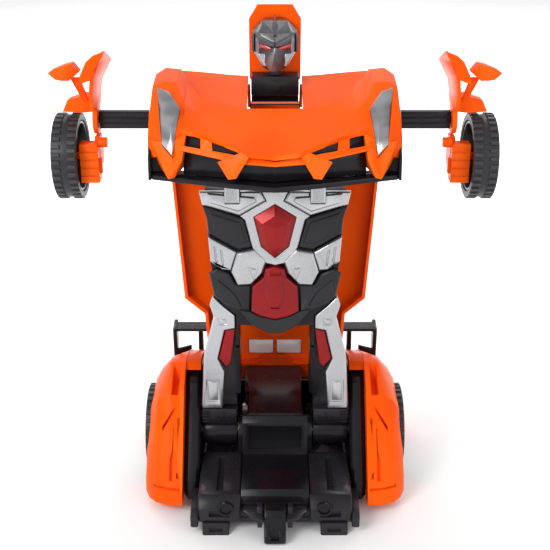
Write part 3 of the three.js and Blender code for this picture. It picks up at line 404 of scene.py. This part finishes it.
# ---------------------------------------------------------------- wheels
TREAD_BLOCKS = 34
TREAD_DEPTH = 1.3
TREAD_OVERLAP = 0.25  # how far the blocks are sunk into the band
TREAD_SHARE = 0.37  # of the tyre's width, for each row of blocks
TYRE_WALL = 4.5
BLOCK_HALF = 1.45  # half a block's length round the tyre
BOLTS = 5
BOLT_CIRCLE = 6.4


def corners(node_name):
    low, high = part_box(node_name)
    return low / MM, high / MM


def tread_row(name, centre, radius, x_low, x_high, start):
    """One ring of tread blocks, each narrower at its top."""
    row = slab(name, (x_low, centre.y - BLOCK_HALF, centre.z + radius - TREAD_DEPTH - 0.3),
               (x_high, centre.y + BLOCK_HALF, centre.z + radius))
    edit_faces(row, facing("z", 1, 0.5),
               resize(0.92, 0.72, 1.0))
    edit_all(row, lambda: bpy.ops.transform.rotate(value=start, orient_axis="X", center_override=centre * MM))
    step = 2 * math.pi / TREAD_BLOCKS
    edit_all(row, lambda: bpy.ops.mesh.spin(steps=TREAD_BLOCKS - 1, dupli=True, angle=2 * math.pi - step,
                                            center=centre * MM, axis=(1.0, 0.0, 0.0)))
    return row


def make_tyre(node_name):
    """Rubber band with a recessed side wall, and two rows of tread blocks beside a smooth middle band."""
    low, high = corners(node_name)
    centre = (low + high) / 2
    radius = (high.z - low.z) / 2
    band_radius = radius - TREAD_DEPTH + TREAD_OVERLAP
    band = turned(node_name + "_band", centre, band_radius, high.x - low.x, 72, "X", capped=False)
    modify(band, "SOLIDIFY", thickness=(TYRE_WALL - TREAD_DEPTH + 0.2) * MM, offset=-1.0)
    edit_faces(band, lambda middle, normal: abs(normal.x) > 0.9,
               inset(0.8, -0.35))
    soften(band, 0.25)
    reach = (high.x - low.x) * TREAD_SHARE
    rows = [
        tread_row("tread_inner", centre, radius, low.x + 0.3, low.x + reach, 0.0),
        tread_row("tread_outer", centre, radius, high.x - reach, high.x - 0.3, math.pi / TREAD_BLOCKS),
    ]
    for row in rows:
        soften(row, 0.14, 1)
    place(merge([band] + rows, node_name + "_treaded"), node_name)


def hub_cap(side, node_name, slot):
    """Domed cap with five wheel bolts round it, on the outer face of a rim."""
    low, high = corners(node_name)
    centre = (low + high) / 2
    face = high.x if side > 0 else low.x
    cap = turned("cap", (face - side * 1.7, centre.y, centre.z), 4.4, 1.6, 32, "X")
    edit_faces(cap, facing("x", side),
               inset(1.0, 0.5),
               inset(0.8, -0.4))
    soften(cap, 0.2)
    bolt = turned("bolt", (face - side * 2.1, centre.y, centre.z + BOLT_CIRCLE), 0.9, 1.2, 6, "X")
    edit_faces(bolt, facing("x", side),
               inset(0.25, 0.2))
    edit_all(bolt, lambda: bpy.ops.mesh.spin(steps=BOLTS - 1, dupli=True,
                                             angle=2 * math.pi * (BOLTS - 1) / BOLTS, center=centre * MM,
                                             axis=(1.0, 0.0, 0.0)))
    soften(bolt, 0.08, 1)
    place(merge([cap, bolt], node_name + "_cap"), slot=slot, body=BODY_OF[node_name])


for name, side in SIDES:
    make_tyre(f"{name}_front_tyre")
    make_tyre(f"{name}_rear_tyre")
    hub_cap(side, f"{name}_front_rim", "black_plastic")
    hub_cap(side, f"{name}_rear_rim", "silver_paint")

# ---------------------------------------------------------------- rear wing
WING_RIBS = 59
RIB_PITCH = 2.2
wing_rib = slab("wing_ribs", (-63.8, 53.6, 76.4), (-63.1, 61.0, 77.75))
modify(wing_rib, "ARRAY", count=WING_RIBS, use_relative_offset=False, use_constant_offset=True,
       constant_offset_displace=(RIB_PITCH * MM, 0.0, 0.0))
soften(wing_rib, 0.15, 1)
place(wing_rib, slot="black_plastic", body="base")

# ---------------------------------------------------------------- outside of the roof
ROOF_SKIN = 48.1  # y of the roof's outside
SUNK = 1.2  # how deep each panel is let into the roof
PROUD = 0.7
SLAT_PITCH = 7.0


def roof_panel(name, half_low, half_high, z_low, z_high):
    """Flat panel let into the roof's outside, wider at its upper end, with a raised rim."""
    panel = slab(name, (-half_low, ROOF_SKIN - SUNK, z_low), (half_low, ROOF_SKIN + PROUD, z_high))
    edit_faces(panel, facing("z", 1),
               resize(half_high / half_low, 1.0, 1.0))
    edit_faces(panel, facing("y", 1),
               inset(1.2, -0.4))
    soften(panel, 0.3)
    place(panel, slot="black_plastic", body="spine")


roof_panel("windscreen", 50.0, 57.0, 150.0, 185.0)
roof_panel("rear_screen", 22.0, 30.0, 84.0, 116.0)
for row in range(4):
    half = 24.0 + row
    foot = 88.0 + SLAT_PITCH * row
    slat = slab(f"rear_slat_{row}", (-half, ROOF_SKIN + 0.2, foot), (half, ROOF_SKIN + 1.5, foot + 3.0))
    edit_faces(slat, facing("y", 1),
               resize(0.96, 1.0, 0.5))
    soften(slat, 0.2)
    place(slat, slot="orange_shell", body="spine")
for name, side in SIDES:
    x_low, x_high = between(side, 32.5, 41.5)
    glass = slab(f"{name}_side_glass", (x_low, ROOF_SKIN - SUNK, 106.0), (x_high, ROOF_SKIN + PROUD, 146.0))
    edit_faces(glass, facing("z", 1),
               move(side * 8.0, 0.0, 0.0),
               resize(1.5, 1.0, 1.0))
    edit_faces(glass, facing("y", 1),
               inset(1.0, -0.4))
    soften(glass, 0.3)
    place(glass, slot="black_plastic", body="spine")

# ---------------------------------------------------------------- torso lugs and the head's recess
for name, side in SIDES:
    x_low, x_high = between(side, 20.3, 28.7)
    cap = slab(f"{name}_lug_cap", (x_low, -18.7, 190.0), (x_high, -17.6, 224.0))
    edit_faces(cap, facing("y", -1),
               inset(0.9),
               move(0.0, 0.35, 0.0))
    soften(cap, 0.25)
    place(cap, slot="silver_paint", body="spine")

recess_plate = slab("recess_plate", (-14.2, 24.4, 217.0), (14.2, 25.3, 236.8))
edit_faces(recess_plate, facing("y", -1),
           inset(2.0, -0.3))
soften(recess_plate, 0.3)
place(recess_plate, slot="orange_shell", body="chest")
recess_shelf = slab("recess_shelf", (-16.0, 25.1, 235.2), (16.0, 34.0, 237.1))
edit_faces(recess_shelf, facing("z", 1),
           inset(1.2, -0.3))
soften(recess_shelf, 0.2)
place(recess_shelf, slot="orange_shell", body="chest")
for name, side in SIDES:
    x_low, x_high = between(side, 14.15, 16.2)
    post = slab(f"{name}_recess_post", (x_low, 25.4, 235.6), (x_high, 27.2, 248.8))
    edit_faces(post, facing("z", 1),
               resize(0.7, 0.7, 1.0))
    soften(post, 0.2)
    place(post, slot="orange_shell", body="chest")

# ---------------------------------------------------------------- ankles and front of the base
BAR_LEAN = math.radians(32)
for name, side in SIDES:
    x_low, x_high = between(side, 40.6, 45.8)
    ribs = slab(f"{name}_ankle_ribs", (x_low, -11.8, 43.4), (x_high, -10.6, 44.6))
    modify(ribs, "ARRAY", count=4, use_relative_offset=False, use_constant_offset=True,
           constant_offset_displace=(0.0, 0.0, RIB_PITCH * MM))
    soften(ribs, 0.25)
    place(ribs, slot="black_plastic", body="spine")
    bar = slab(f"{name}_ankle_bar", (side * 33.0 - 0.6, -11.6, 43.6), (side * 33.0 + 0.6, -10.6, 51.0))
    middle_of_bar = Vector((side * 33.0, -11.0, 47.4)) * MM
    edit_all(bar, lambda: bpy.ops.transform.rotate(
        value=side * BAR_LEAN, orient_axis="Y", center_override=middle_of_bar))
    soften(bar, 0.2)
    place(bar, slot="black_plastic", body="spine")
    boss = turned(f"{name}_front_boss", (side * 29.0, -66.4, 17.2), 4.6, 2.6, 32, "Y")
    edit_faces(boss, facing("y", -1),
               inset(1.3),
               inset(0.2, -1.6))
    soften(boss, 0.3)
    place(boss, slot="black_plastic", body="base")

# ---------------------------------------------------------------- face of the helmet
for name, side in SIDES:
    x_low, x_high = between(side, 2.2, 8.6)
    eye = slab(f"{name}_eye", (x_low, 3.6, 271.6), (x_high, 6.4, 274.2))
    edit_faces(eye, facing("x", side),
               move(0.0, 3.2, 1.4))
    edit_faces(eye, facing("x", -side),
               resize(1.0, 1.0, 0.5))
    edit_faces(eye, facing("y", -1, 0.5),
               inset(0.4, 0.3))
    soften(eye, 0.2)
    place(eye, slot="tail_lens", body="head")
    x_low, x_high = between(side, 5.6, 9.6)
    cheek = slab(f"{name}_cheek", (x_low, 6.4, 262.6), (x_high, 9.6, 269.8))
    edit_faces(cheek, facing("z", -1),
               resize(0.5, 0.7, 1.0),
               move(-side * 2.0, -0.6, 0.0))
    edit_faces(cheek, facing("y", -1, 0.5),
               inset(0.6, 0.25))
    soften(cheek, 0.25)
    place(cheek, slot="silver_paint", body="head")

# ---------------------------------------------------------------- the remaining frame nodes, finished
REFINEMENTS = {
    "hood": {"width": 0.6, "angle": 6.0, "smooth": 7.0},
    "left_rear_fender": {"width": 0.5, "angle": 16.0, "smooth": 20.0},
    "right_rear_fender": {"width": 0.5, "angle": 16.0, "smooth": 20.0},
    "back_shell": {"width": 0.5, "dissolve": False},
    "chest_gem": {"width": 0.2, "angle": 8.0, "smooth": 8.0},
    "belly_shield": {"width": 0.3, "angle": 14.0},
    "head": {"width": 0.3, "angle": 12.0},
}
TYRES = {f"{name}_{end}_tyre" for name, _ in SIDES for end in ("front", "rear")}
for name in frame["nodes"]:
    if name not in TYRES:
        refine(name, **REFINEMENTS.get(name, {}))

# ---------------------------------------------------------------- floor and light
FLOOR_SIZE = 6.0
WORLD_STRENGTH = 0.74
bpy.ops.mesh.primitive_plane_add(size=FLOOR_SIZE, location=(0.0, 0.0, 0.0))
floor = bpy.context.object
floor.name = "floor"
paper, paper_tree, paper_shader = new_material("pale_paper", Roughness=0.9, Specular_IOR_Level=0.2)
tone = paper_tree.noise(6.0).mix(rgb(0.90, 0.90, 0.90), rgb(0.94, 0.94, 0.94))
drive(paper_tree, paper_shader, Base_Color=tone)
floor.data.materials.append(paper)

world = bpy.data.worlds.new("studio")
world.use_nodes = True
world.node_tree.nodes["Background"].inputs["Color"].default_value = rgb(1.0, 1.0, 1.0)
world.node_tree.nodes["Background"].inputs["Strength"].default_value = WORLD_STRENGTH
bpy.context.scene.world = world


def softbox(name, location, target, size, power):
    """A square area light that faces its target."""
    direction = Vector(target) - Vector(location)
    rotation = direction.to_track_quat("-Z", "Y").to_euler()
    bpy.ops.object.light_add(type="AREA", location=location, rotation=rotation)
    lamp = bpy.context.object
    lamp.name = name
    lamp.data.shape = "SQUARE"
    lamp.data.size = size
    lamp.data.energy = power


softbox("key_left", (-0.60, -0.70, 0.70), (0.0, 0.0, 0.15), 0.45, 5.5)
softbox("fill_right", (0.75, -0.8, 0.40), (0.0, 0.0, 0.12), 0.6, 1.6)
softbox("top_back", (0.1, 0.7, 0.9), (0.0, 0.0, 0.15), 0.8, 1.4)
softbox("backdrop_left", (-0.5, 0.9, 0.9), (-0.2, 1.6, 0.0), 0.8, 14.0)
softbox("backdrop_right", (0.5, 0.9, 0.9), (0.2, 1.6, 0.0), 0.8, 14.0)

# ---------------------------------------------------------------- clearing the selection
deselect()
